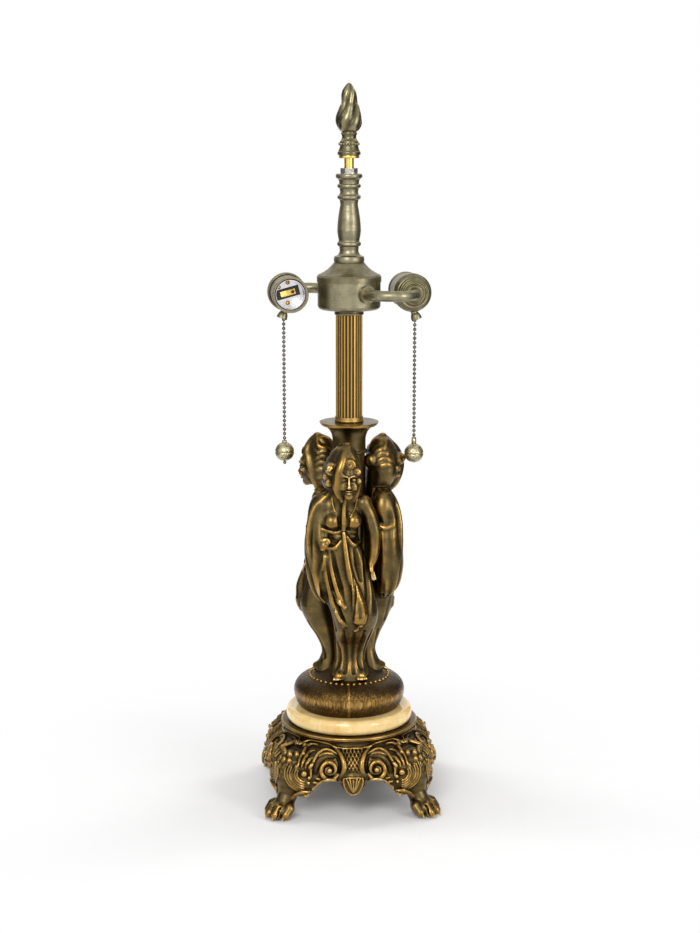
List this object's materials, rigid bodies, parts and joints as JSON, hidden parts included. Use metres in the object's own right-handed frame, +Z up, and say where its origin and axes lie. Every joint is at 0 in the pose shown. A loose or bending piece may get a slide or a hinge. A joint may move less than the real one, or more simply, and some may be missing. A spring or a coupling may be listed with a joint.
{
  "type": "figural table lamp",
  "caption": "Figural table lamp: pawed cast base, onyx ring, draped maidens round an urn, reeded column, spindle, flame finial and curved arms with pull-chain bulb sockets.",
  "frame": {"origin": "on the lamp's axis, at the plane that the paws stand on", "axes": "+Z up along the axis, -Y to the front (one figure faces it), +X to the right-hand socket as seen from the front"},
  "size_m": [0.1746, 0.1746, 0.6858],
  "materials": {
    "bronze_casting": "antique bronze over cast metal, dark in the hollows and rubbed gold on the edges",
    "antique_brass": "satin antique brass, turned",
    "reeded_brass": "reeded tube, bright ridges and dark flutes",
    "bright_brass": "bright lacquered brass",
    "onyx": "polished banded cream onyx",
    "plated_steel": "zinc-plated steel",
    "black_moulding": "moulded phenolic",
    "sleeve_board": "pressed insulating board",
    "screw_shell": "bright screw shell",
    "wire": "insulated lead"
  },
  "bodies": {
    "lamp": {"base_casting": "bronze_casting", "base_nut": "plated_steel", "base_washer": "plated_steel", "cluster_body": "antique_brass", "cluster_lid": "antique_brass", "cluster_locknut": "plated_steel", "column_base_collar": "antique_brass", "column_top_collar": "antique_brass", "column_tube": "reeded_brass", "cord_bushing": "black_moulding", "figure_casting": "bronze_casting", "finial_rod": "bright_brass", "hickey": "plated_steel", "left_arm": "antique_brass", "left_arm_collar": "antique_brass", "left_arm_locknut": "plated_steel", "left_centre_contact": "bright_brass", "left_chain_bell": "antique_brass", "left_insulating_sleeve": "sleeve_board", "left_leads": "wire", "left_lever_pin": "plated_steel", "left_screw_shell": "screw_shell", "left_socket_cap": "antique_brass", "left_socket_shell": "antique_brass", "left_switch_block": "black_moulding", "left_wire_nut": "black_moulding", "lid_locknut": "plated_steel", "main_pipe": "plated_steel", "onyx_ring": "onyx", "right_arm": "antique_brass", "right_arm_collar": "antique_brass", "right_arm_locknut": "plated_steel", "right_centre_contact": "bright_brass", "right_chain_bell": "antique_brass", "right_insulating_sleeve": "sleeve_board", "right_leads": "wire", "right_lever_pin": "plated_steel", "right_screw_shell": "screw_shell", "right_socket_cap": "antique_brass", "right_socket_shell": "antique_brass", "right_switch_block": "black_moulding", "right_wire_nut": "black_moulding", "spindle": "antique_brass", "spindle_nut": "plated_steel", "spindle_washer": "plated_steel"},
    "left_lever": {"left_switch_lever": "plated_steel"},
    "left_pull": {"left_pull_link": "plated_steel"},
    "left_chain": {"left_pull_chain": "antique_brass", "left_chain_ball": "antique_brass", "left_end_bead": "antique_brass"},
    "right_lever": {"right_switch_lever": "plated_steel"},
    "right_pull": {"right_pull_link": "plated_steel"},
    "right_chain": {"right_pull_chain": "antique_brass", "right_chain_ball": "antique_brass"},
    "ferrule": {"finial_ferrule": "bright_brass"},
    "finial": {"finial": "antique_brass"}
  },
  "joints": [
    {"name": "left_pull_slide", "type": "slide", "parent": "lamp", "child": "left_pull", "axis": [0, 0, -1], "range_m": [0, 0.006], "stiffness_N_per_m": 400, "springref_m": -0.004},
    {"name": "left_switch_rock", "type": "hinge", "parent": "lamp", "child": "left_lever", "pos_m": [-0.05179, 0.00787, 0.487], "axis": [0.1045, -0.9945, 0], "range_deg": [0, 34.92]},
    {"name": "left_chain_swing", "type": "hinge", "parent": "left_pull", "child": "left_chain", "pos_m": [-0.06151, 0.00685, 0.4682], "axis": [-0.1045, 0.9945, 0], "range_deg": [-6, 20]},
    {"name": "right_pull_slide", "type": "slide", "parent": "lamp", "child": "right_pull", "axis": [0, 0, -1], "range_m": [0, 0.006], "stiffness_N_per_m": 400, "springref_m": -0.004},
    {"name": "right_switch_rock", "type": "hinge", "parent": "lamp", "child": "right_lever", "pos_m": [0.05179, -0.00787, 0.487], "axis": [-0.1045, 0.9945, 0], "range_deg": [0, 34.92]},
    {"name": "right_chain_swing", "type": "hinge", "parent": "right_pull", "child": "right_chain", "pos_m": [0.06151, -0.00685, 0.4682], "axis": [0.1045, -0.9945, 0], "range_deg": [-6, 20]},
    {"name": "finial_rise", "type": "slide", "parent": "lamp", "child": "ferrule", "axis": [0, 0, 1], "range_m": [-0.008, 0.01]},
    {"name": "finial_turn", "type": "hinge", "parent": "ferrule", "child": "finial", "pos_m": [0, 0, 0.6205], "axis": [0, 0, 1], "range_deg": [-3061.4, 3826.8]}
  ],
  "couplings": [
    {"joint": "left_switch_rock", "follows": "left_pull_slide", "rad_per_m": 101.56},
    {"joint": "right_switch_rock", "follows": "right_pull_slide", "rad_per_m": 101.56},
    {"joint": "finial_turn", "follows": "finial_rise", "rad_per_m": 6679}
  ]
}
